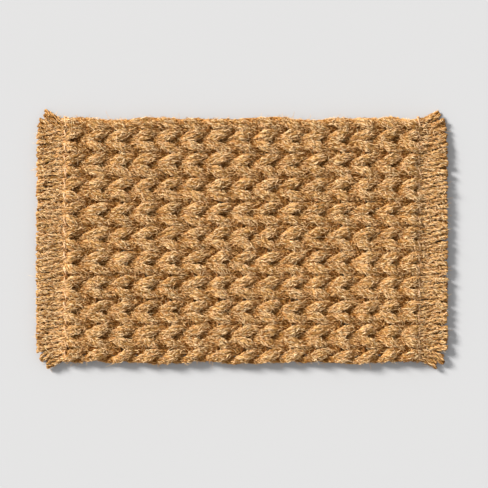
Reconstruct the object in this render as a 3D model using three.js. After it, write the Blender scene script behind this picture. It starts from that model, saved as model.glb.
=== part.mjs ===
// Door mat of thick coir strands. Twenty rows, each two strands twisted round each other
// and round hidden warp cords, lie side by side. Paired threads bind both ends, and the
// strand ends run on past the binding as a fringe.
// Millimetres. +X runs along the rows, +Y across them, +Z up; the floor is z = 0.
import * as THREE from 'three';

// Driving dimensions
const MAT_LENGTH = 762;           // fringe tip to fringe tip
const MAT_WIDTH = 454;            // across the twined rows
const ROW_COUNT = 20;
const CREST_PITCH = 45.3;         // from one crest of a row to the next, and between warp cords
const WARPS_EACH_SIDE = 7;        // warp cords on either side of the middle one
const BINDING_X = 328;            // binding line, from the middle of the mat

// Strands
const STRAND_RADIUS = 5;
const STRAND_SIDES = 5;
const STRAND_LIFT = 7.8;          // crest of a strand above the middle plane of its row
const STEEP_SPREAD = 6.4;         // sideways swing of the strands in the steeper rows
const SHALLOW_SPREAD = 5.4;       // and in the shallower rows between them
const STEEP_FLATTENING = 1.9;     // a strand is this many times wider on its crests
const SHALLOW_FLATTENING = 1.6;
const STEPS_PER_TURN = 6;         // path points in one full twist

// Fringe and the flat stretch under the binding
const LAST_TURN = 4.4;            // from the last crest to where a row's strands lie side by side
const BOUND_BEFORE = 3;           // flat stretch of strand on the mat's side of the binding line
const BOUND_AFTER = 5;            // and on the fringe's side
const BOUND_HEIGHT = 7.3;         // strand centre where the threads pass over and under
const BOUND_SPREAD = 5.2;         // strand centre from the row centre, drawn together
const FRINGE_DROP = 18;           // length over which a strand comes down to the floor
const FRINGE_BEND = 8;            // from there to where the corner strands start to splay
const CORNER_SPLAY = 15;          // how far the outermost strand end leans outward
const SPLAY_FROM = 160;           // strands further out than this lean outward
const CORNER_SHORTENING = 14;     // the outermost strand leans so far that it stops short
const TIP_RAGGEDNESS = 3;         // largest difference between cut ends

// Warp cords
const WARP_RADIUS = 2.2;
const WARP_SIDES = 6;
const WARP_INSET = 9;             // warp ends stop this far inside the outer edges

// Binding threads
const THREAD_RADIUS = 1;
const THREAD_SIDES = 4;
const THREAD_CLEARANCE = 0.35;    // free space between a thread and the strand it crosses
const THREAD_SWAY = 1.8;          // sideways lean of a stitch, either side of the binding line
const OVER_REACH = 6;             // half length of the level part of a stitch over a row
const UNDER_REACH = 9;            // and of one under a row

// Sizes that follow from the ones above
const ROW_PITCH = MAT_WIDTH / ROW_COUNT;
const TURN_LENGTH = 2 * CREST_PITCH;
const SECTION_DROP = STRAND_RADIUS * Math.cos(Math.PI / STRAND_SIDES);  // centre to flat underside
const MIDDLE_HEIGHT = SECTION_DROP + STRAND_LIFT;
const LAST_CREST_X = WARPS_EACH_SIDE * CREST_PITCH;
const OUTER_STRAND_Y = MAT_WIDTH / 2 - ROW_PITCH / 4;

function fibre(color, roughness) {
  return new THREE.MeshStandardMaterial({ color, roughness, metalness: 0 });
}

// Corners of a regular section with a flat underside, in the plane of `side` and `up`.
function sectionRing(centre, side, up, radius, sides) {
  const ring = [];
  for (let corner = 0; corner < sides; corner += 1) {
    const angle = -Math.PI / 2 + ((2 * corner + 1) * Math.PI) / sides;
    const point = centre.clone();
    point.addScaledVector(side, radius * Math.cos(angle));
    point.addScaledVector(up, radius * Math.sin(angle));
    ring.push(point);
  }
  return ring;
}

// Closed tube through a list of rings, with flat ends.
function closedTube(rings) {
  const sides = rings[0].length;
  const last = (rings.length - 1) * sides;
  const faces = [];
  for (let ring = 0; ring < rings.length - 1; ring += 1) {
    for (let corner = 0; corner < sides; corner += 1) {
      const here = ring * sides + corner;
      const next = ring * sides + ((corner + 1) % sides);
      faces.push(here, next, next + sides);
      faces.push(here, next + sides, here + sides);
    }
  }
  for (let corner = 1; corner < sides - 1; corner += 1) {
    faces.push(0, corner + 1, corner);
    faces.push(last, last + corner, last + corner + 1);
  }
  const geometry = new THREE.BufferGeometry().setFromPoints(rings.flat());
  geometry.setIndex(faces);
  return geometry;
}

// A strand's section stands square to X, so that the loose ends lie flat on the floor.
function strandRing(centre, widening) {
  const side = new THREE.Vector3(0, widening, 0);
  const up = new THREE.Vector3(0, 0, 1);
  return sectionRing(centre, side, up, STRAND_RADIUS, STRAND_SIDES);
}

function namedMesh(name, geometry, material) {
  const flatShaded = geometry.toNonIndexed();
  flatShaded.computeVertexNormals();
  const mesh = new THREE.Mesh(flatShaded, material);
  mesh.name = name;
  return mesh;
}

function rowCentre(row) {
  return MAT_WIDTH / 2 - (row + 0.5) * ROW_PITCH;
}

// Strands near the long edges lean outward in the fringe, the outermost most of all.
function splayAt(y) {
  const share = Math.max(0, Math.abs(y) - SPLAY_FROM) / (OUTER_STRAND_Y - SPLAY_FROM);
  return Math.sign(y) * CORNER_SPLAY * share ** 2;
}

// The loose end of one strand, from the binding out to its cut tip.
// `end` is -1 for the left end and +1 for the right, `side` the strand's side of its row.
function fringePoints(row, end, side) {
  const boundY = rowCentre(row) + side * BOUND_SPREAD;
  const looseY = rowCentre(row) + (side * ROW_PITCH) / 4;
  const raggedness = (TIP_RAGGEDNESS * ((7 * row + 3 * side + end + 8) % 5)) / 4;
  const outermost = Math.abs(looseY) > MAT_WIDTH / 2 - ROW_PITCH / 2;
  const trim = raggedness + (outermost ? CORNER_SHORTENING : 0);
  const landing = BINDING_X + BOUND_AFTER + FRINGE_DROP;
  const splay = splayAt(looseY);
  return [
    new THREE.Vector3(end * (BINDING_X - BOUND_BEFORE), boundY, BOUND_HEIGHT),
    new THREE.Vector3(end * (BINDING_X + BOUND_AFTER), boundY, BOUND_HEIGHT),
    new THREE.Vector3(end * landing, looseY + splay / 3, SECTION_DROP),
    new THREE.Vector3(end * (landing + FRINGE_BEND), looseY + splay / 2, SECTION_DROP),
    new THREE.Vector3(end * (MAT_LENGTH / 2 - trim), looseY + splay, SECTION_DROP),
  ];
}

function looseEnd(row, end, side) {
  return fringePoints(row, end, side).map((point) => strandRing(point, 1));
}

// One section of the twist. `angle` is where the strand is round its row: 0 is a crest on top.
function twistRing(row, x, angle, shape) {
  const swing = shape.spread / Math.sin(Math.PI / 3);
  const y = rowCentre(row) + shape.hand * swing * Math.sin(angle);
  const z = MIDDLE_HEIGHT + STRAND_LIFT * Math.cos(angle);
  const widening = 1 + (shape.flattening - 1) * Math.cos(angle) ** 4;
  return strandRing(new THREE.Vector3(x, y, z), widening);
}

// The twisted part of one strand, which is flattened on every crest above and below the warps.
// `start` is its angle round the row at the middle of the mat. Past the last crest on either
// side, a sixth of a turn squeezed into LAST_TURN brings the strand beside its partner.
function twistedLength(row, start, shape) {
  const stepLength = TURN_LENGTH / STEPS_PER_TURN;
  const steps = Math.round((2 * LAST_CREST_X) / stepLength);
  const angleAt = (x) => start + (2 * Math.PI * x) / TURN_LENGTH;
  const leftAngle = angleAt(-LAST_CREST_X) - Math.PI / 3;
  const rightAngle = angleAt(LAST_CREST_X) + Math.PI / 3;
  const rings = [twistRing(row, -LAST_CREST_X - LAST_TURN, leftAngle, shape)];
  for (let step = 0; step <= steps; step += 1) {
    const x = -LAST_CREST_X + step * stepLength;
    rings.push(twistRing(row, x, angleAt(x), shape));
  }
  rings.push(twistRing(row, LAST_CREST_X + LAST_TURN, rightAngle, shape));
  return rings;
}

// One strand, tip to tip. The steep rows are twisted one way and the shallow rows the other,
// and the two strands of a row change sides between one end of the mat and the other.
function strand(row, start, material, name) {
  const shape = row % 2 === 1
    ? { hand: 1, spread: STEEP_SPREAD, flattening: STEEP_FLATTENING }
    : { hand: -1, spread: SHALLOW_SPREAD, flattening: SHALLOW_FLATTENING };
  const lastCrestOnTop = Math.cos(start + (2 * Math.PI * LAST_CREST_X) / TURN_LENGTH) > 0;
  const rightSide = lastCrestOnTop ? shape.hand : -shape.hand;
  const rings = [
    ...looseEnd(row, -1, -rightSide).reverse(),
    ...twistedLength(row, start, shape),
    ...looseEnd(row, 1, rightSide),
  ];
  return namedMesh(name, closedTube(rings), material);
}

// A warp cord lies straight across the mat, between the upper and lower strand of every row.
function warpCord(x, material, name) {
  const upperUnderside = STRAND_LIFT - SECTION_DROP;
  const lowerTop = STRAND_RADIUS - STRAND_LIFT;
  const height = MIDDLE_HEIGHT + (upperUnderside + lowerTop) / 2;
  const reach = MAT_WIDTH / 2 - WARP_INSET;
  const side = new THREE.Vector3(1, 0, 0);
  const up = new THREE.Vector3(0, 0, 1);
  const rings = [reach, -reach].map((y) => (
    sectionRing(new THREE.Vector3(x, y, height), side, up, WARP_RADIUS, WARP_SIDES)
  ));
  return namedMesh(name, closedTube(rings), material);
}

// Two threads wind round every row: one goes over while the other goes under.
// `over` is 1 for the thread that passes over the first row.
function threadPath(bindingX, over) {
  const overHeight = BOUND_HEIGHT + STRAND_RADIUS + THREAD_RADIUS + THREAD_CLEARANCE;
  const underHeight = BOUND_HEIGHT - SECTION_DROP - THREAD_RADIUS - THREAD_CLEARANCE;
  const points = [];
  let above = over;
  for (let row = 0; row < ROW_COUNT; row += 1) {
    const y = rowCentre(row);
    const height = above ? overHeight : underHeight;
    const sway = above ? THREAD_SWAY : -THREAD_SWAY;
    const reach = above ? OVER_REACH : UNDER_REACH;
    const gapHeight = (BOUND_HEIGHT + height) / 2;
    points.push(new THREE.Vector3(bindingX - sway, y + ROW_PITCH / 2, gapHeight));
    points.push(new THREE.Vector3(bindingX - sway / 2, y + reach, height));
    points.push(new THREE.Vector3(bindingX + sway / 2, y - reach, height));
    points.push(new THREE.Vector3(bindingX + sway, y - ROW_PITCH / 2, gapHeight));
    above = !above;
  }
  return points;
}

function bindingThread(bindingX, over, material, name) {
  const path = threadPath(bindingX, over);
  const alongMat = new THREE.Vector3(1, 0, 0);
  const rings = path.map((point, index) => {
    const before = path[Math.max(0, index - 1)];
    const after = path[Math.min(path.length - 1, index + 1)];
    const run = new THREE.Vector3().subVectors(after, before).normalize();
    const up = new THREE.Vector3().crossVectors(run, alongMat).normalize();
    const side = new THREE.Vector3().crossVectors(up, run);
    return sectionRing(point, side, up, THREAD_RADIUS, THREAD_SIDES);
  });
  return namedMesh(name, closedTube(rings), material);
}

function twoDigits(number) {
  return String(number).padStart(2, '0');
}

function addRows(group) {
  for (let row = 0; row < ROW_COUNT; row += 1) {
    const label = `row_${twoDigits(row + 1)}`;
    group.add(strand(row, 0, fibre(0xad8050, 0.9), `${label}_strand_a`));
    group.add(strand(row, Math.PI, fibre(0xad8050, 0.9), `${label}_strand_b`));
  }
}

function addWarpCords(group) {
  for (let place = -WARPS_EACH_SIDE; place <= WARPS_EACH_SIDE; place += 1) {
    const name = `warp_cord_${twoDigits(place + WARPS_EACH_SIDE + 1)}`;
    group.add(warpCord(place * CREST_PITCH, fibre(0x8a6238, 0.9), name));
  }
}

function addBinding(group) {
  for (const [label, x] of [['left', -BINDING_X], ['right', BINDING_X]]) {
    group.add(bindingThread(x, true, fibre(0xd9b48c, 0.85), `${label}_binding_thread_a`));
    group.add(bindingThread(x, false, fibre(0xd9b48c, 0.85), `${label}_binding_thread_b`));
  }
}

const group = new THREE.Group();
group.name = 'door_mat';
addRows(group);
addWarpCords(group);
addBinding(group);
export default group;
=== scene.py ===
"""Door mat of thick coir strands, twisted in pairs round hidden warp cords, with fringed ends.

Metres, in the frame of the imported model: +X along the rows, +Y across them, +Z up, floor at z = 0.
Every strand is a bundle of five yarns round a plain core, every yarn is two plies, and short tufts
and loose fibres cover them.
"""

import math

import bpy
import numpy as np
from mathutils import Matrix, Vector


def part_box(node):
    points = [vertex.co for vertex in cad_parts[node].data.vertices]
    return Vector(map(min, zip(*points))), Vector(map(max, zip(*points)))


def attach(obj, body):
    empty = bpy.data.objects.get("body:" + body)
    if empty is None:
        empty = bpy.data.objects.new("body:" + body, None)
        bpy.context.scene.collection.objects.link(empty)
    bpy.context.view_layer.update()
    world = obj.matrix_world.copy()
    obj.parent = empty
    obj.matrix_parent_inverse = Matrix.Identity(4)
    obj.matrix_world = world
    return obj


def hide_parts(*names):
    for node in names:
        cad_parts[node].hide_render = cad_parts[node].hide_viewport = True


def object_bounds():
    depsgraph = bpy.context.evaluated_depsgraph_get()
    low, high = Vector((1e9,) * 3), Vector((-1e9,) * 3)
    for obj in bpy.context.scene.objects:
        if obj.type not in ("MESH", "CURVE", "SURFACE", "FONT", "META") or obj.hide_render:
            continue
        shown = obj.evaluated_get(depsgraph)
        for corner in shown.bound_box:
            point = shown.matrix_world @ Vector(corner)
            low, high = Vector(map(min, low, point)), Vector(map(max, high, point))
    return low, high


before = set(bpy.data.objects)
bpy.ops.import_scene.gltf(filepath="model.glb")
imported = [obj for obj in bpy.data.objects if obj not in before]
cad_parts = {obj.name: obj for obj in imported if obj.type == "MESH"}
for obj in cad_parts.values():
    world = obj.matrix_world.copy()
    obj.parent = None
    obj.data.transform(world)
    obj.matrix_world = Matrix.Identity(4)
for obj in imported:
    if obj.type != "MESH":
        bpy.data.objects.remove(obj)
CAD_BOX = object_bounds()


def middle_of(node):
    low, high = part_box(node)
    return [(a + b) / 2 for a, b in zip(low, high)]


# Places that come from the frame. The rows' pitch is taken between two rows of the same kind of end.
ROW_COUNT = 20
WARP_COUNT = 15
ROW_PITCH = (middle_of("row_05_strand_a")[1] - middle_of("row_16_strand_a")[1]) / (16 - 5)
CREST_PITCH = (middle_of("warp_cord_15")[0] - middle_of("warp_cord_01")[0]) / (WARP_COUNT - 1)
BINDING_X = middle_of("right_binding_thread_a")[0]
HALF_LENGTH = CAD_BOX[1][0]
HALF_WIDTH = ROW_PITCH * ROW_COUNT / 2
MIDDLE_HEIGHT = CAD_BOX[1][2] / 2
WARP_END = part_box("warp_cord_08")[1][1]

# Rows: the steep ones rise to the right, the shallow ones between them fall
STRAND_LIFT = 0.0066            # crest of a strand above the middle plane
STEEP_SWING = 0.0065            # sideways swing of a strand in a steep row
SHALLOW_SWING = 0.0061
EDGE_SWINGS = {0: 0.80, ROW_COUNT - 1: 1.20}  # the far edge's row is tighter, the near one looser,
FAR_ROW_SHIFT = 0.0032          # and the far edge's row lies this much nearer the next one
SHALLOW_SHIFT = 0.0012          # the shallow rows lie this much nearer the steep row above them
COLUMN_SHIFT = 0.0040           # the columns of crests stand a little right of the warp cords,
COLUMN_LEAN = 0.0137            # and further right towards the near edge, by this slope
LAST_CREST_X = CREST_PITCH * (WARP_COUNT - 1) / 2
LAST_SIDE = math.pi * WARP_COUNT / 2  # a strand's angle half a crest further, beside its partner
STEADY_FROM = 0.25              # from here to the last crest the columns straighten out

# A strand's yarns spread over an oval. These are its half sizes, and how full the plies are,
# on a top crest, where the two strands of a row lie side by side, and on a bottom crest.
STEEP_WIDTHS = (0.0062, 0.0030, 0.0090)
SHALLOW_WIDTHS = (0.0058, 0.0025, 0.0084)
THICKNESSES = (0.0031, 0.0030, 0.0024)
FULLNESSES = (1.08, 0.94, 0.92)
CREST_SHARPNESS = 1.6
CORE_WIDENING = 0.0032          # the core reaches this far past the yarns' middle lines
CORE_THICKENING = 0.0006
CORE_SIDES = 12
STEEP_TURNS = -6.0              # turns of the yarns in each metre of a strand, by the kind of row,
SHALLOW_TURNS = 3.0
FRINGE_TURNS = 6.0              # and in the loose ends

# Yarns and plies
YARNS = 5
PLY_RADIUS = 0.00155
PLY_OFFSET = 0.00145            # ply centre from yarn centre
PLY_TWIST = 0.020               # length of one turn of the plies in a yarn
PLY_SIDES = 5
YARN_RADIUS = PLY_OFFSET + PLY_RADIUS
STEP = 0.0025                   # spacing of the sections along a strand
SPARE_LENGTH = 0.002            # a strand is laid out this far past the mat and cut to length
TIP_POINT = 0.4                 # how far a tube's tip stands out, as a share of its radius

# Slow drifts, each a wavelength in metres and an amount: radians for the rows' twist and the plies'
# turn, turns for the yarns, shares for lift, width and ply size, and metres for the rest.
WAVE_PARTS = (1.0, 0.57, 0.31)
WAVE_LENGTHS = (0.8, 1.25)
WAVE_TOTAL = 1.2                # brings the sum of the waves down to about the amount
TWIST_DRIFT = (0.16, 0.13)
ROW_DRIFT = (0.20, 0.0009)
EDGE_ROW_DRIFT = (0.20, 0.0022)  # the two long edges are not quite straight
LIFT_DRIFT = (0.11, 0.08)
WIDTH_DRIFT = (0.10, 0.14)
YARN_TURN_DRIFT = (0.20, 0.12)
YARN_DRIFT = (0.06, 0.0006)
YARN_LIFT_DRIFT = (0.05, 0.0006)
LOOSE_YARN_DRIFT = (0.055, 0.0018)
LOOSE_END_SPREAD = 0.0020       # at its tip each yarn has also strayed about this far sideways
PLY_TURN_DRIFT = (0.07, 0.7)
PLY_SIZE_DRIFT = (0.03, 0.08)

# Fibres on each strand
TUFTS = 1550
BRIDGING_TUFTS = 1000
FLANK_SHARE = 0.30              # this share of them bridges the groove to the next row
FLANK_SPREAD = 0.5              # in radians round the strand
NEAREST_ROOT = 0.45             # they start past the oval by at least this share of a yarn's radius,
FURTHEST_ROOT = 0.95            # and by at most this share
FURTHEST_ON_FLANK = 1.15
ROOT_DEPTH = 0.85               # all other fibres start at this share of a ply's radius,
ROOT_SCATTER = 0.0020           # facing outwards give or take this much,
ROOT_LIFT = 0.0015              # and a little upwards
TUFT_LENGTH = 0.0092
TUFT_LENGTHS = (0.6, 1.3)       # shares of it
TUFT_RADIUS = 0.00056
TUFT_TAPER = (0.35, 1.0, 1.0, 0.35)
TUFT_BULGE = (0.0004, 0.0023)
TUFT_CURL = 0.0010
TUFT_SINK = 0.0005
PLY_TUFT_LEAN = 0.36            # how far they turn from the strand's direction, in radians
OVAL_TUFT_LEAN = 0.42
LYING_FIBRES = 850
LIFTED_FIBRES = 120
FIBRE_LENGTH = 0.011
FIBRE_LENGTHS = (0.5, 1.3)      # shares of it
FIBRE_RADIUS = 0.00030
FIBRE_TAPER = (1.0, 1.0, 0.5)
FINENESSES = (0.6, 1.4)         # tufts and fibres are this much finer or thicker than their radius
FIBRE_LEAN = 0.7
FIBRE_BEND = 0.25               # sideways, and
FIBRE_DROOP = 0.5               # back towards the strand, as shares of its length
LEAST_RISE = 0.08               # slopes at which the fibres leave the surface
LYING_RISE = 0.25
LIFTED_RISE = 0.8
LOWEST_FIBRE = 0.0004
HIGHEST_FIBRE = 0.0335

# Binding and fringe
BOUND_FROM = BINDING_X - 0.011  # from here to the next place the twisted strands turn parallel
BOUND_TO = BINDING_X + 0.005
BOUND_HEIGHT = 0.0100           # of a strand's middle line, where the threads bind it
BOUND_SPREAD = 0.0054           # its distance there from the middle of its row
BOUND_WIDTH = 0.0032            # and half sizes of its oval
BOUND_THICKNESS = 0.0042
FRINGE_START = BINDING_X + 0.020  # from here on the ends are evenly spaced
FRINGE_HEIGHT = 0.0084          # the same sizes for the loose ends
FRINGE_WIDTH = 0.0044
FRINGE_THICKNESS = 0.0046
FRINGE_FULLNESS = 1.10
FRINGE_SETTLES = 0.028          # from BINDING_X to where the loose ends have their full size
CORNER_SPLAY = 0.026            # how far the outermost ends lean out
CORNER_FLUFFING = 0.20          # how much wider they spread
CORNER_SHORTENING = 0.019       # the outermost ends lean so far out that they stop short
SPLAY_FROM = 0.165              # all this only for the rows further out than this
SPLAY_CURVE = 1.6               # powers: along the ends, and from row to row
SPLAY_GROWTH = 2
SHORTENING_GROWTH = 5
TIP_OVERHANG = 0.0015           # the tips reach this far past the mat's length
TIP_LIFT = 0.0022               # and lie this much higher than the start of the fringe
CORNER_DROP = 0.0065            # how much lower the outermost ends lie at the far corners
TIP_RAGGEDNESS = 0.004          # a yarn may be up to this much shorter than its strand
THREAD_PLY_RADIUS = 0.0010
THREAD_OVER = 0.0072            # a stitch over a row, above the strands' middle
THREAD_UNDER = 0.0080
LOWEST_THREAD = 2.5 * THREAD_PLY_RADIUS
THREAD_TWIST = 0.006            # length of one turn of its plies
THREAD_HUMP = 1.3               # above 1 a stitch has a flat top
THREAD_SLANT = 0.0018           # how far a stitch leans across the binding line
THREAD_SIZE_DRIFT = (0.03, 0.12)
THREAD_LIFT_DRIFT = (0.045, 0.0007)
THREAD_DRIFTS = ((0.10, 0.0008), (0.022, 0.0006))
THREAD_SECTIONS = 700
THREAD_SIDES = 5
WARP_PLY_RADIUS = 0.0016
WARP_TWIST = 0.018
WARP_DRIFT = (0.12, 0.0006)
WARP_SECTIONS = 200
WARP_SIDES = 6

LENGTHWISE = np.array([1.0, 0.0, 0.0])
CROSSWISE = np.array([0.0, 1.0, 0.0])
RIGHT_HANDED = 1.0
LEFT_HANDED = -1.0


def eased(value, start, end):
    """0 before start and 1 after end, with a smooth rise between."""
    share = np.clip((value - start) / (end - start), 0.0, 1.0)
    return share * share * (3.0 - 2.0 * share)


def wander(rng, count, places, wavelength, amount):
    """Smooth irregular curves, one per row of the result, along the given places. Each is a sum of
    three waves, and the shorter ones are lower in proportion."""
    total = np.zeros((count, len(places)))
    for part in WAVE_PARTS:
        length = wavelength * part * rng.uniform(*WAVE_LENGTHS, (count, 1))
        phase = rng.uniform(0.0, 2.0 * np.pi, (count, 1))
        total += part * np.sin(2.0 * np.pi * places[None, :] / length + phase)
    return amount * total / WAVE_TOTAL


# ---- tubes ----

def tubes(centres, radii, sides, reference, heights=None):
    """Closed tubes. centres is (tubes, rings, 3) and radii (tubes, rings). With heights the
    section is an oval, radii wide towards the reference direction and heights high.

    Returns the corners, the four-sided and three-sided faces, for every corner its place on its
    tube (two coordinates round the tube and one along it), and how many corners a tube has."""
    count, rings, _ = centres.shape
    run = np.gradient(centres, axis=1)
    run /= np.linalg.norm(run, axis=2, keepdims=True)
    side = reference - np.sum(reference * run, axis=2, keepdims=True) * run
    side /= np.linalg.norm(side, axis=2, keepdims=True)
    up = np.cross(run, side)
    angle = 2.0 * np.pi * np.arange(sides) / sides
    if heights is None:
        heights = radii
    sideways = (side * radii[:, :, None])[:, :, None] * np.cos(angle)[:, None]
    upwards = (up * heights[:, :, None])[:, :, None] * np.sin(angle)[:, None]
    corners = (centres[:, :, None] + sideways + upwards).reshape(count, -1, 3)
    tips = np.stack([
        centres[:, 0] - run[:, 0] * radii[:, 0, None] * TIP_POINT,
        centres[:, -1] + run[:, -1] * radii[:, -1, None] * TIP_POINT,
    ], axis=1)

    steps = np.linalg.norm(np.diff(centres, axis=1, prepend=centres[:, :1]), axis=2)
    travelled = np.cumsum(steps, axis=1)
    place = np.empty((count, rings, sides, 3))
    place[..., 0] = radii[:, :, None] * np.cos(angle)
    place[..., 1] = radii[:, :, None] * np.sin(angle)
    place[..., 2] = travelled[:, :, None]
    tip_place = np.zeros((count, 2, 3))
    tip_place[:, 1, 2] = travelled[:, -1]

    here = (np.arange(rings - 1)[:, None] * sides + np.arange(sides)).ravel()
    beside = (np.arange(rings - 1)[:, None] * sides + (np.arange(sides) + 1) % sides).ravel()
    quads = np.stack([here, beside, beside + sides, here + sides], axis=1)
    first = np.arange(sides)
    following = (first + 1) % sides
    last = (rings - 1) * sides
    start_tip = np.full(sides, rings * sides)
    triangles = np.concatenate([
        np.stack([start_tip, following, first], axis=1),
        np.stack([start_tip + 1, last + first, last + following], axis=1),
    ])
    per_tube = rings * sides + 2
    shift = (np.arange(count) * per_tube)[:, None, None]
    return (
        np.concatenate([corners, tips], axis=1).reshape(-1, 3),
        (quads[None] + shift).reshape(-1, 4),
        (triangles[None] + shift).reshape(-1, 3),
        np.concatenate([place.reshape(count, -1, 3), tip_place], axis=1).reshape(-1, 3),
        per_tube,
    )


def piece(name, groups, material):
    """One mesh object made of several groups of tubes.

    Each group is (what tubes() returned, a tone for each corner, an offset for each tube's place)."""
    corners, quads, triangles, places, tones = [], [], [], [], []
    shift = 0
    for (some_corners, some_quads, some_triangles, place, per_tube), tone, offset in groups:
        corners.append(some_corners)
        quads.append(some_quads + shift)
        triangles.append(some_triangles + shift)
        places.append(place + np.repeat(offset, per_tube, axis=0))
        tones.append(tone)
        shift += len(some_corners)
    corners = np.concatenate(corners)
    quads = np.concatenate(quads)
    triangles = np.concatenate(triangles)

    mesh = bpy.data.meshes.new(name)
    mesh.vertices.add(len(corners))
    mesh.vertices.foreach_set("co", corners.astype(np.float32).ravel())
    mesh.loops.add(quads.size + triangles.size)
    face_corners = np.concatenate([quads.ravel(), triangles.ravel()])
    mesh.loops.foreach_set("vertex_index", face_corners.astype(np.int32))
    mesh.polygons.add(len(quads) + len(triangles))
    starts = np.concatenate([
        np.arange(len(quads)) * 4,
        quads.size + np.arange(len(triangles)) * 3,
    ])
    mesh.polygons.foreach_set("loop_start", starts.astype(np.int32))
    mesh.update(calc_edges=True)
    mesh.polygons.foreach_set("use_smooth", np.ones(len(mesh.polygons), dtype=bool))
    place_data = mesh.attributes.new("fibre_place", "FLOAT_VECTOR", "POINT")
    place_data.data.foreach_set("vector", np.concatenate(places).astype(np.float32).ravel())
    depth = depth_in_mat(corners)
    in_fringe = eased(np.abs(corners[:, 0]), BOUND_FROM, BOUND_TO)
    tone = np.concatenate(tones)
    # Painted shade: the deeper a corner lies in the mat, the darker its tone.
    tone = tone + in_fringe * FRINGE_TONE * (1.0 - tone) - PAINTED_DEPTH_SHADE * depth
    for attribute, values in (("tone", tone), ("depth", depth)):
        data = mesh.attributes.new(attribute, "FLOAT", "POINT")
        data.data.foreach_set("value", values.astype(np.float32))
    mesh.materials.append(material)
    made = bpy.data.objects.new(name, mesh)
    bpy.context.scene.collection.objects.link(made)
    return made


# ---- materials ----

STREAK_SCALE = 800.0
STREAK_STRETCH = (1.0, 1.0, 0.14)  # streaks are long along a tube and narrow round it
STREAK_CONTRAST = 2.6
STREAK_SCATTER = 5.0             # how far apart two tubes' places in the streaks may be, either way
STREAK_HEIGHT = 0.0008           # of the relief that the streaks make
DRIFT_SCALE = 42.0
DRIFT_CONTRAST = 0.6
TINT_SCALE = 170.0
TINT_SPREAD = 0.018              # how far the hue drifts either way, as a share of the colour wheel
COIR_ROUGHNESS = 0.72
COIR_SPECULAR = 0.06

# Tones, each a mean and a spread from tube to tube: 0 is the dark end of the colours, 1 the pale end
CORE_TONE = (0.30, 0.02)
# The plies are near the dark end: painted shade in the gaps between the tufts.
PLY_TONE_PAINTED_SHADE = (0.05, 0.06)
TUFT_TONE = (0.86, 0.60)
FIBRE_TONE = (0.95, 0.2)
WARP_TONE = (0.4, 0.05)
THREAD_TONE = (0.55, 0.05)
PAINTED_DEPTH_SHADE = 0.10                # painted shade: how much darker the tones are made in the middle of the weave
FRINGE_TONE = 0.22               # the loose ends are paler between their tufts than the weave is
PAINTED_WARM_SHADE = (0.78, 0.57, 0.30)  # painted warm shade: deep between the fibres the colour is multiplied by this, standing in for light that has turned warm there
FRINGE_DEPTH = 0.7               # for the painted shade the middle of the loose ends counts as only this deep
FRINGE_DEPTH_FROM = BOUND_TO + 0.01

# Dark, middle and pale colours of each kind of fibre
STRAND_COLOURS = ((0.22, 0.102, 0.025), (0.69, 0.410, 0.169), (0.90, 0.650, 0.366))
WARP_COLOURS = ((0.12, 0.055, 0.018), (0.30, 0.16, 0.065), (0.50, 0.32, 0.16))
THREAD_COLOURS = ((0.40, 0.23, 0.11), (0.68, 0.45, 0.26), (0.80, 0.59, 0.39))


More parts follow.
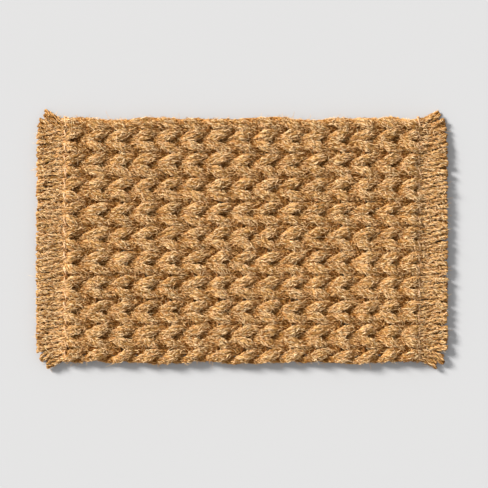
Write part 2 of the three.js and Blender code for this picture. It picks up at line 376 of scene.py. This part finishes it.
def coir(name, colours, relief_strength):
    """Coconut fibre: fine streaks along each tube, a tone for each tube, slow drifts of tone and hue,
    and painted shade, warmer and darker with depth. colours are the dark, middle and pale ones."""
    dark, middle, pale = colours
    material = bpy.data.materials.new(name)
    material.use_nodes = True
    nodes, links = material.node_tree.nodes, material.node_tree.links
    shader = nodes["Principled BSDF"]
    shader.inputs["Roughness"].default_value = COIR_ROUGHNESS
    shader.inputs["Specular IOR Level"].default_value = COIR_SPECULAR

    place = nodes.new("ShaderNodeAttribute")
    place.attribute_name = "fibre_place"
    stretch = nodes.new("ShaderNodeMapping")
    stretch.inputs["Scale"].default_value = STREAK_STRETCH
    links.new(place.outputs["Vector"], stretch.inputs["Vector"])
    streaks = nodes.new("ShaderNodeTexNoise")
    streaks.inputs["Scale"].default_value = STREAK_SCALE
    streaks.inputs["Detail"].default_value = 3.0
    streaks.inputs["Roughness"].default_value = 0.62
    links.new(stretch.outputs["Vector"], streaks.inputs["Vector"])

    where = nodes.new("ShaderNodeTexCoord")
    drift = nodes.new("ShaderNodeTexNoise")
    drift.inputs["Scale"].default_value = DRIFT_SCALE
    drift.inputs["Detail"].default_value = 2.0
    links.new(where.outputs["Object"], drift.inputs["Vector"])

    tone = nodes.new("ShaderNodeAttribute")
    tone.attribute_name = "tone"
    level = tone.outputs["Fac"]
    for source, strength in ((streaks, STREAK_CONTRAST), (drift, DRIFT_CONTRAST)):
        centred = nodes.new("ShaderNodeMapRange")
        centred.clamp = False
        centred.inputs["To Min"].default_value = -strength / 2
        centred.inputs["To Max"].default_value = strength / 2
        links.new(source.outputs["Fac"], centred.inputs["Value"])
        added = nodes.new("ShaderNodeMath")
        added.operation = "ADD"
        links.new(level, added.inputs[0])
        links.new(centred.outputs["Result"], added.inputs[1])
        level = added.outputs["Value"]
    ramp = nodes.new("ShaderNodeValToRGB")
    darkest, palest = ramp.color_ramp.elements
    darkest.position = 0.08
    darkest.color = (*dark, 1.0)
    palest.position = 0.95
    palest.color = (*pale, 1.0)
    ramp.color_ramp.elements.new(0.5).color = (*middle, 1.0)
    links.new(level, ramp.inputs["Fac"])

    tint = nodes.new("ShaderNodeTexNoise")
    tint.inputs["Scale"].default_value = TINT_SCALE
    links.new(where.outputs["Object"], tint.inputs["Vector"])
    hue = nodes.new("ShaderNodeMapRange")
    hue.inputs["To Min"].default_value = 0.5 - TINT_SPREAD
    hue.inputs["To Max"].default_value = 0.5 + TINT_SPREAD
    links.new(tint.outputs["Fac"], hue.inputs["Value"])
    tinted = nodes.new("ShaderNodeHueSaturation")
    links.new(hue.outputs["Result"], tinted.inputs["Hue"])
    links.new(ramp.outputs["Color"], tinted.inputs["Color"])
    # painted warm shade: the colour turns warmer and darker with depth in the mat
    depth = nodes.new("ShaderNodeAttribute")
    depth.attribute_name = "depth"
    warm_shaded = nodes.new("ShaderNodeMixRGB")
    warm_shaded.blend_type = "MULTIPLY"
    warm_shaded.inputs["Color2"].default_value = (*PAINTED_WARM_SHADE, 1.0)
    links.new(depth.outputs["Fac"], warm_shaded.inputs["Fac"])
    links.new(tinted.outputs["Color"], warm_shaded.inputs["Color1"])
    links.new(warm_shaded.outputs["Color"], shader.inputs["Base Color"])

    relief = nodes.new("ShaderNodeBump")
    relief.inputs["Strength"].default_value = relief_strength
    relief.inputs["Distance"].default_value = STREAK_HEIGHT
    links.new(streaks.outputs["Fac"], relief.inputs["Height"])
    links.new(relief.outputs["Normal"], shader.inputs["Normal"])
    return material


def plain(name, colour, roughness):
    material = bpy.data.materials.new(name)
    material.use_nodes = True
    shader = material.node_tree.nodes["Principled BSDF"]
    shader.inputs["Base Color"].default_value = (*colour, 1.0)
    shader.inputs["Roughness"].default_value = roughness
    return material


# ---- strands ----

def is_steep(row):
    return row % 2 == 1


def row_middle(row):
    middle = HALF_WIDTH - (row + 0.5) * ROW_PITCH
    if row == 0:
        return middle - FAR_ROW_SHIFT
    return middle if is_steep(row) else middle + SHALLOW_SHIFT


def outwardness(y):
    """0 well inside the mat, 1 for the loose end nearest to a long edge, and a little more past it."""
    edge = HALF_WIDTH - ROW_PITCH / 4
    return np.clip((np.abs(y) - SPLAY_FROM) / (edge - SPLAY_FROM), 0.0, 1.1)


def strand_angle(row, start, x):
    """Where a strand is round its row: 0 on a top crest, pi on a bottom one. The twist is uneven,
    by the same amount for both strands of a row."""
    rng = np.random.default_rng(900 + row)
    uneven = wander(rng, 1, x, *TWIST_DRIFT)[0]
    in_weave = 1.0 - eased(np.abs(x), STEADY_FROM, LAST_CREST_X)
    shift = COLUMN_SHIFT - COLUMN_LEAN * row_middle(row)
    return start + np.pi * (x - shift * in_weave) / CREST_PITCH + uneven * in_weave


def loose_side(row, start, end):
    """+1 or -1: on which side of its row a strand runs loose at this end, -1 for left, +1 for right."""
    hand = 1.0 if is_steep(row) else -1.0
    return hand * math.sin(start + LAST_SIDE) * end


def strand_centre(row, start, x):
    """Middle line of one strand at the places x. start is its angle round the row at x = 0."""
    rng = np.random.default_rng(800 + row)
    hand = 1.0 if is_steep(row) else -1.0
    swing = STEEP_SWING if is_steep(row) else SHALLOW_SWING
    drift = ROW_DRIFT
    if row in EDGE_SWINGS:
        swing *= EDGE_SWINGS[row]
        drift = EDGE_ROW_DRIFT
    angle = strand_angle(row, start, x)
    y_twist = hand * swing * np.sin(angle) + wander(rng, 1, x, *drift)[0]
    z_twist = MIDDLE_HEIGHT + STRAND_LIFT * np.cos(angle) * (1.0 + wander(rng, 1, x, *LIFT_DRIFT)[0])

    distance = np.abs(x)
    side = loose_side(row, start, np.sign(x))
    y_loose = side * np.interp(distance, [BOUND_TO, FRINGE_START], [BOUND_SPREAD, ROW_PITCH / 4])
    z_loose = np.interp(
        distance,
        [BOUND_TO, FRINGE_START, HALF_LENGTH],
        [BOUND_HEIGHT, FRINGE_HEIGHT, FRINGE_HEIGHT + TIP_LIFT],
    )
    y_end = row_middle(row) + side * ROW_PITCH / 4
    share = np.clip((distance - BINDING_X) / (HALF_LENGTH - BINDING_X), 0.0, 1.0)
    z_loose = z_loose - CORNER_DROP * outwardness(np.maximum(y_end, 0.0)) * share
    loose = eased(distance, BOUND_FROM, BOUND_TO)
    y = row_middle(row) + (1.0 - loose) * y_twist + loose * y_loose
    z = (1.0 - loose) * z_twist + loose * z_loose
    y = y + np.sign(y_end) * CORNER_SPLAY * outwardness(y_end) ** SPLAY_GROWTH * share ** SPLAY_CURVE
    return np.stack([x, y, z], axis=1)


def between_crests(values, angle):
    """Blends the sizes for a top crest, lying side by side, and a bottom crest."""
    top, beside, bottom = values
    height = np.cos(angle)
    top_share = np.maximum(height, 0.0) ** CREST_SHARPNESS
    bottom_share = np.maximum(-height, 0.0) ** CREST_SHARPNESS
    return beside + (top - beside) * top_share + (bottom - beside) * bottom_share


def bundle_size(row, start, x):
    """Half width and half height of the oval that a strand's yarns lie on, and how full they are."""
    rng = np.random.default_rng(700 + 2 * row + (start > 0.0))
    angle = strand_angle(row, start, x)
    width = between_crests(STEEP_WIDTHS if is_steep(row) else SHALLOW_WIDTHS, angle)
    thickness = between_crests(THICKNESSES, angle)
    fullness = between_crests(FULLNESSES, angle)
    width = width * (1.0 + wander(rng, 1, x, *WIDTH_DRIFT)[0])
    distance = np.abs(x)
    bound = eased(distance, BOUND_FROM, BOUND_TO)
    width = width + (BOUND_WIDTH - width) * bound
    thickness = thickness + (BOUND_THICKNESS - thickness) * bound
    fullness = fullness + (1.0 - fullness) * bound
    loose = eased(distance, BOUND_TO, BINDING_X + FRINGE_SETTLES)
    fringe_width = FRINGE_WIDTH * (1.0 + CORNER_FLUFFING * outwardness(row_middle(row)))
    width = width + (fringe_width - width) * loose
    thickness = thickness + (FRINGE_THICKNESS - thickness) * loose
    fullness = fullness + (FRINGE_FULLNESS - fullness) * loose
    return width, thickness, fullness


def strand_axes(centre):
    run = np.gradient(centre, axis=0)
    run /= np.linalg.norm(run, axis=1, keepdims=True)
    side = CROSSWISE - np.sum(CROSSWISE * run, axis=1, keepdims=True) * run
    side /= np.linalg.norm(side, axis=1, keepdims=True)
    return run, side, np.cross(run, side)


def turns(row, x):
    """How many times the yarns of a strand have turned round it between its middle and x."""
    woven = np.clip(x, -BOUND_FROM, BOUND_FROM)
    return woven * (STEEP_TURNS if is_steep(row) else SHALLOW_TURNS) + (x - woven) * FRINGE_TURNS


def yarn_centres(rng, row, start, x):
    """Middle lines of the yarns of a strand, as a (yarns, n, 3) array."""
    centre = strand_centre(row, start, x)
    _, side, up = strand_axes(centre)
    width, thickness, _ = bundle_size(row, start, x)
    first = rng.uniform(0.0, 1.0)
    turned = turns(row, x) + wander(rng, 1, x, *YARN_TURN_DRIFT)[0]
    loose = eased(np.abs(x), BOUND_TO, HALF_LENGTH)
    waves = wander(rng, YARNS, x, *LOOSE_YARN_DRIFT) * loose + wander(rng, YARNS, x, *YARN_DRIFT)
    lifts = wander(rng, YARNS, x, *YARN_LIFT_DRIFT)
    drift = rng.normal(0.0, LOOSE_END_SPREAD, (YARNS, 2))
    centres = []
    for yarn in range(YARNS):
        angle = 2.0 * np.pi * (first + yarn / YARNS - turned)
        across = width * np.cos(angle) + waves[yarn]
        above = thickness * np.sin(angle) + lifts[yarn]
        line = centre + side * across[:, None] + up * above[:, None]
        end_drift = np.where(x > 0, drift[yarn, 0], drift[yarn, 1])
        line[:, 1] += end_drift * loose ** 2
        line[:, 2] = np.maximum(line[:, 2], YARN_RADIUS)
        centres.append(line)
    return np.array(centres)


def cut_to_length(lines, low, high, rings):
    """The same lines, resampled so that each starts at its own low x and ends at its own high x."""
    cut = np.empty((len(lines), rings, 3))
    for index, line in enumerate(lines):
        x = np.linspace(low[index], high[index], rings)
        for axis in range(3):
            cut[index, :, axis] = np.interp(x, line[:, 0], line[:, axis])
    return cut


def plies_of(rng, yarns, twist, offset, hand, reference):
    """Two plies for every yarn, twisted round it. twist is the length of one turn, and offset, the
    distance of a ply from the yarn's middle line, may change along the yarn."""
    plies = []
    for line in yarns:
        run = np.gradient(line, axis=0)
        run /= np.linalg.norm(run, axis=1, keepdims=True)
        side = reference - np.sum(reference * run, axis=1, keepdims=True) * run
        side /= np.linalg.norm(side, axis=1, keepdims=True)
        up = np.cross(run, side)
        length = np.cumsum(np.linalg.norm(np.diff(line, axis=0, prepend=line[:1]), axis=1))
        uneven = wander(rng, 1, length, *PLY_TURN_DRIFT)[0]
        first = rng.uniform(0.0, 2.0 * np.pi)
        for ply in range(2):
            angle = first + np.pi * ply + hand * 2.0 * np.pi * length / twist + uneven
            around = side * np.cos(angle)[:, None] + up * np.sin(angle)[:, None]
            plies.append(line + np.reshape(offset, (-1, 1)) * around)
    return np.array(plies)


def reach(row, start, end):
    """How far out from the middle of the mat a strand's longest yarn ends."""
    y_end = row_middle(row) + loose_side(row, start, end) * ROW_PITCH / 4
    shortening = CORNER_SHORTENING * outwardness(y_end) ** SHORTENING_GROWTH
    return HALF_LENGTH + TIP_OVERHANG - shortening


def core(row, start, x):
    """The inside of a strand, as one oval tube from one binding line to the other."""
    inside = x[np.abs(x) < BOUND_TO]
    width, thickness, _ = bundle_size(row, start, inside)
    centre = strand_centre(row, start, inside)
    half_width = width + CORE_WIDENING
    half_height = np.minimum(thickness + CORE_THICKENING, centre[:, 2])
    return tubes(centre[None], half_width[None], CORE_SIDES, CROSSWISE, half_height[None])


def fibre_roots(rng, plies, radii, axis_line, count):
    """Random places on the outside of a strand: where, and which ways are along and outward."""
    ply = rng.integers(0, len(plies), count)
    ring = rng.integers(2, plies.shape[1] - 2, count)
    root = plies[ply, ring]
    run = plies[ply, ring + 1] - plies[ply, ring - 1]
    run /= np.linalg.norm(run, axis=1, keepdims=True)
    outward = root - axis_line[ring] + rng.normal(0.0, ROOT_SCATTER, (count, 3))
    outward[:, 2] += ROOT_LIFT
    outward -= np.sum(outward * run, axis=1, keepdims=True) * run
    outward /= np.linalg.norm(outward, axis=1, keepdims=True)
    return root + outward * radii[ply, ring][:, None] * ROOT_DEPTH, run, outward


def lying_direction(rng, run, outward, spread):
    """Random directions along the surface, within a spread of the ply's own direction."""
    lean = rng.normal(0.0, spread, (len(run), 1))
    ahead = np.where(rng.random((len(run), 1)) < 0.5, 1.0, -1.0)
    return ahead * (run * np.cos(lean) + np.cross(outward, run) * np.sin(lean))


def oval_roots(rng, row, start, x, count):
    """Random places on the oval round a strand's yarns, inside the binding lines."""
    inner = np.flatnonzero(np.abs(x) < BOUND_TO)
    ring = rng.choice(inner[1:-1], count)
    centre = strand_centre(row, start, x)
    run, side, up = strand_axes(centre)
    width, thickness, fullness = bundle_size(row, start, x)
    angle = rng.uniform(0.0, 2.0 * np.pi, count)
    flank = rng.random(count) < FLANK_SHARE
    on_flank = np.pi * rng.integers(0, 2, count) + rng.normal(0.0, FLANK_SPREAD, count)
    angle = np.where(flank, on_flank, angle)
    furthest = np.where(flank, FURTHEST_ON_FLANK, FURTHEST_ROOT)
    past = YARN_RADIUS * fullness[ring] * rng.uniform(NEAREST_ROOT, furthest)
    across = (width[ring] + past) * np.cos(angle)
    above = (thickness[ring] + past) * np.sin(angle)
    outward = side[ring] * np.cos(angle)[:, None] + up[ring] * np.sin(angle)[:, None]
    root = centre[ring] + side[ring] * across[:, None] + up[ring] * above[:, None]
    return root, run[ring], outward


def tufts(rng, roots, spread):
    """Short thick bunches of fibre that bulge out of the surface, with both ends sunk in it."""
    root, run, outward = roots
    count = len(root)
    direction = lying_direction(rng, run, outward, spread)
    length = rng.uniform(*TUFT_LENGTHS, (count, 1, 1)) * TUFT_LENGTH
    bulge = rng.uniform(*TUFT_BULGE, (count, 1, 1))
    curl = rng.normal(0.0, TUFT_CURL, (count, 1, 3))
    share = np.array([0.0, 0.33, 0.67, 1.0])[None, :, None]
    arch = 4.0 * share * (1.0 - share)
    line = root[:, None] + direction[:, None] * length * (share - 0.5)
    line = line + outward[:, None] * (bulge * arch - TUFT_SINK) + curl * arch
    thickness = TUFT_RADIUS * rng.uniform(*FINENESSES, (count, 1)) * np.array([TUFT_TAPER])
    line[:, :, 2] = np.maximum(line[:, :, 2], thickness)
    return tubes(line, thickness, 3, outward[:, None])


def loose_fibres(rng, roots, standing):
    """Fine fibres with one end in the surface. standing says how far the other end lifts off it."""
    root, run, outward = roots
    count = len(root)
    rise = np.abs(rng.normal(0.0, standing, (count, 1))) + LEAST_RISE
    direction = lying_direction(rng, run, outward, FIBRE_LEAN) + outward * rise
    direction /= np.linalg.norm(direction, axis=1, keepdims=True)
    length = rng.uniform(*FIBRE_LENGTHS, (count, 1)) * FIBRE_LENGTH
    bend = rng.normal(0.0, FIBRE_BEND, (count, 3)) * length - outward * rise * length * FIBRE_DROOP
    share = np.array([0.0, 0.5, 1.0])[None, :, None]
    line = root[:, None] + direction[:, None] * length[:, None] * share + bend[:, None] * share ** 2
    thickness = FIBRE_RADIUS * rng.uniform(*FINENESSES, (count, 1)) * np.array([FIBRE_TAPER])
    line[:, :, 2] = np.clip(line[:, :, 2], LOWEST_FIBRE, HIGHEST_FIBRE)
    return tubes(line, thickness, 3, rng.normal(0.0, 1.0, (count, 1, 3)))


def depth_in_mat(corners):
    """0 on the crests and 1 in the middle of the weave, from above and below alike. In the middle
    of the loose ends it is FRINGE_DEPTH. It says where shade is painted."""
    in_weave = 1.0 - eased(np.abs(corners[:, 0]), BOUND_FROM, FRINGE_DEPTH_FROM)
    height = np.abs(corners[:, 2] - MIDDLE_HEIGHT) / MIDDLE_HEIGHT
    fringe_height = np.abs(corners[:, 2] - FRINGE_HEIGHT) / FRINGE_HEIGHT
    depth = in_weave * (1.0 - height) + (1.0 - in_weave) * FRINGE_DEPTH * (1.0 - fringe_height)
    return np.clip(depth, 0.0, 1.0)


def tube_group(rng, made, tone):
    """Tubes with a tone of their own for each, and a place of their own in the streaks."""
    corners, _, _, _, per_tube = made
    count = len(corners) // per_tube
    tones = np.repeat(rng.normal(*tone, count), per_tube)
    return made, tones, rng.uniform(-STREAK_SCATTER, STREAK_SCATTER, (count, 3))


def strand(row, letter, material):
    start = 0.0 if letter == "a" else math.pi
    rng = np.random.default_rng(100 * row + (1 if letter == "a" else 2))
    rings = int(2 * HALF_LENGTH / STEP)
    x = np.linspace(-HALF_LENGTH - SPARE_LENGTH, HALF_LENGTH + SPARE_LENGTH, rings)
    axis_line = strand_centre(row, start, x)
    low = -reach(row, start, -1) + rng.uniform(0.0, TIP_RAGGEDNESS, YARNS)
    high = reach(row, start, 1) - rng.uniform(0.0, TIP_RAGGEDNESS, YARNS)
    yarns = cut_to_length(yarn_centres(rng, row, start, x), low, high, rings)
    _, _, fullness = bundle_size(row, start, x)
    plies = plies_of(rng, yarns, PLY_TWIST, PLY_OFFSET * fullness, RIGHT_HANDED, CROSSWISE)
    radii = PLY_RADIUS * fullness * (1.0 + wander(rng, len(plies), x, *PLY_SIZE_DRIFT))
    plies[:, :, 2] = np.maximum(plies[:, :, 2], radii)
    tuft_roots = fibre_roots(rng, plies, radii, axis_line, TUFTS)
    lying_roots = fibre_roots(rng, plies, radii, axis_line, LYING_FIBRES)
    lifted_roots = fibre_roots(rng, plies, radii, axis_line, LIFTED_FIBRES)
    bridging_roots = oval_roots(rng, row, start, x, BRIDGING_TUFTS)
    groups = [
        tube_group(rng, core(row, start, x), CORE_TONE),
        # painted shade: the plies show dark in the gaps between the tufts
        tube_group(rng, tubes(plies, radii, PLY_SIDES, CROSSWISE), PLY_TONE_PAINTED_SHADE),
        tube_group(rng, tufts(rng, tuft_roots, PLY_TUFT_LEAN), TUFT_TONE),
        tube_group(rng, tufts(rng, bridging_roots, OVAL_TUFT_LEAN), TUFT_TONE),
        tube_group(rng, loose_fibres(rng, lying_roots, LYING_RISE), FIBRE_TONE),
        tube_group(rng, loose_fibres(rng, lifted_roots, LIFTED_RISE), FIBRE_TONE),
    ]
    node = f"row_{row + 1:02d}_strand_{letter}"
    made = piece(f"coir_strand_{row + 1:02d}_{letter}", groups, material)
    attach(made, "root")
    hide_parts(node)


# ---- warp cords and binding threads ----

def warp_cord(index, material):
    rng = np.random.default_rng(5000 + index)
    x = (index - (WARP_COUNT - 1) / 2) * CREST_PITCH
    y = np.linspace(WARP_END, -WARP_END, WARP_SECTIONS)
    line = np.stack([np.full_like(y, x), y, np.full_like(y, MIDDLE_HEIGHT)], axis=1)
    line[:, 0] += wander(rng, 1, y, *WARP_DRIFT)[0]
    plies = plies_of(rng, line[None], WARP_TWIST, WARP_PLY_RADIUS, LEFT_HANDED, LENGTHWISE)
    radii = np.full(plies.shape[:2], WARP_PLY_RADIUS)
    groups = [tube_group(rng, tubes(plies, radii, WARP_SIDES, LENGTHWISE), WARP_TONE)]
    made = piece(f"warp_{index + 1:02d}", groups, material)
    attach(made, "root")
    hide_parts(f"warp_cord_{index + 1:02d}")


def binding_line(rng, end, letter, y):
    """A thread that goes over one row and under the next, leaning across the binding line."""
    rows_along = (HALF_WIDTH - y) / ROW_PITCH
    phase = np.pi * rows_along + (0.0 if letter == "a" else np.pi)
    over = BOUND_HEIGHT + THREAD_OVER
    under = BOUND_HEIGHT - THREAD_UNDER
    swing = np.clip(np.sin(phase) * THREAD_HUMP, -1.0, 1.0)
    z = (over + under) / 2 + (over - under) / 2 * swing + wander(rng, 1, y, *THREAD_LIFT_DRIFT)[0]
    x = end * BINDING_X - THREAD_SLANT * np.cos(phase)
    for drift in THREAD_DRIFTS:
        x = x + wander(rng, 1, y, *drift)[0]
    return np.stack([x, y, np.maximum(z, LOWEST_THREAD)], axis=1)


def binding_thread(side, letter, material):
    end = -1.0 if side == "left" else 1.0
    rng = np.random.default_rng(7000 + (0 if side == "left" else 10) + ord(letter))
    y = np.linspace(HALF_WIDTH, -HALF_WIDTH, THREAD_SECTIONS)
    line = binding_line(rng, end, letter, y)
    plies = plies_of(rng, line[None], THREAD_TWIST, THREAD_PLY_RADIUS, LEFT_HANDED, LENGTHWISE)
    radii = THREAD_PLY_RADIUS * (1.0 + wander(rng, 2, y, *THREAD_SIZE_DRIFT))
    groups = [tube_group(rng, tubes(plies, radii, THREAD_SIDES, LENGTHWISE), THREAD_TONE)]
    made = piece(f"{side}_thread_{letter}", groups, material)
    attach(made, "root")
    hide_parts(f"{side}_binding_thread_{letter}")


# ---- floor, light and camera ----

FLOOR_SIZE = 14.0
FLOOR_COLOUR = (0.433, 0.433, 0.436)
FLOOR_ROUGHNESS = 0.9
SKY_COLOUR = (0.98, 0.99, 1.0)
SKY_STRENGTH = 0.66
SUN_COLOUR = (1.0, 0.985, 0.965)
SUN_STRENGTH = 6.6
SUN_WIDTH = math.radians(16.0)
SUN_AIM = Vector((1.2, -0.82, -0.92))
CAMERA_AT = (0.0037, -0.0092, 3.2)
SENSOR_WIDTH = 36.0
SEEN_WIDTH = 0.905              # of the plane that is FOCUS_HEIGHT above the floor
FOCUS_HEIGHT = 0.015


def floor():
    bpy.ops.mesh.primitive_plane_add(size=FLOOR_SIZE, location=(0.0, 0.0, 0.0))
    made = bpy.context.active_object
    made.name = "floor"
    made.data.materials.append(plain("pale_floor", FLOOR_COLOUR, FLOOR_ROUGHNESS))


def lights():
    world = bpy.data.worlds.new("studio")
    bpy.context.scene.world = world
    world.use_nodes = True
    background = world.node_tree.nodes["Background"]
    background.inputs["Color"].default_value = (*SKY_COLOUR, 1.0)
    background.inputs["Strength"].default_value = SKY_STRENGTH
    key = bpy.data.lights.new("key", "SUN")
    key.energy = SUN_STRENGTH
    key.angle = SUN_WIDTH
    key.color = SUN_COLOUR
    lamp = bpy.data.objects.new("key", key)
    bpy.context.scene.collection.objects.link(lamp)
    lamp.rotation_mode = "QUATERNION"
    lamp.rotation_quaternion = SUN_AIM.to_track_quat("-Z", "Y")


def camera():
    data = bpy.data.cameras.new("camera")
    data.sensor_width = SENSOR_WIDTH
    data.lens = SENSOR_WIDTH * (CAMERA_AT[2] - FOCUS_HEIGHT) / SEEN_WIDTH
    data.clip_end = 50.0
    made = bpy.data.objects.new("camera", data)
    bpy.context.scene.collection.objects.link(made)
    made.location = CAMERA_AT
    bpy.context.scene.camera = made


bpy.context.scene.view_settings.view_transform = "Standard"
camera()
lights()
floor()
STRAND_COIR = coir("strand_coir", STRAND_COLOURS, relief_strength=1.0)
WARP_COIR = coir("warp_coir", WARP_COLOURS, relief_strength=0.5)
THREAD = coir("binding_thread", THREAD_COLOURS, relief_strength=0.5)
for row in range(ROW_COUNT):
    strand(row, "a", STRAND_COIR)
    strand(row, "b", STRAND_COIR)
for index in range(WARP_COUNT):
    warp_cord(index, WARP_COIR)
for side in ("left", "right"):
    binding_thread(side, "a", THREAD)
    binding_thread(side, "b", THREAD)
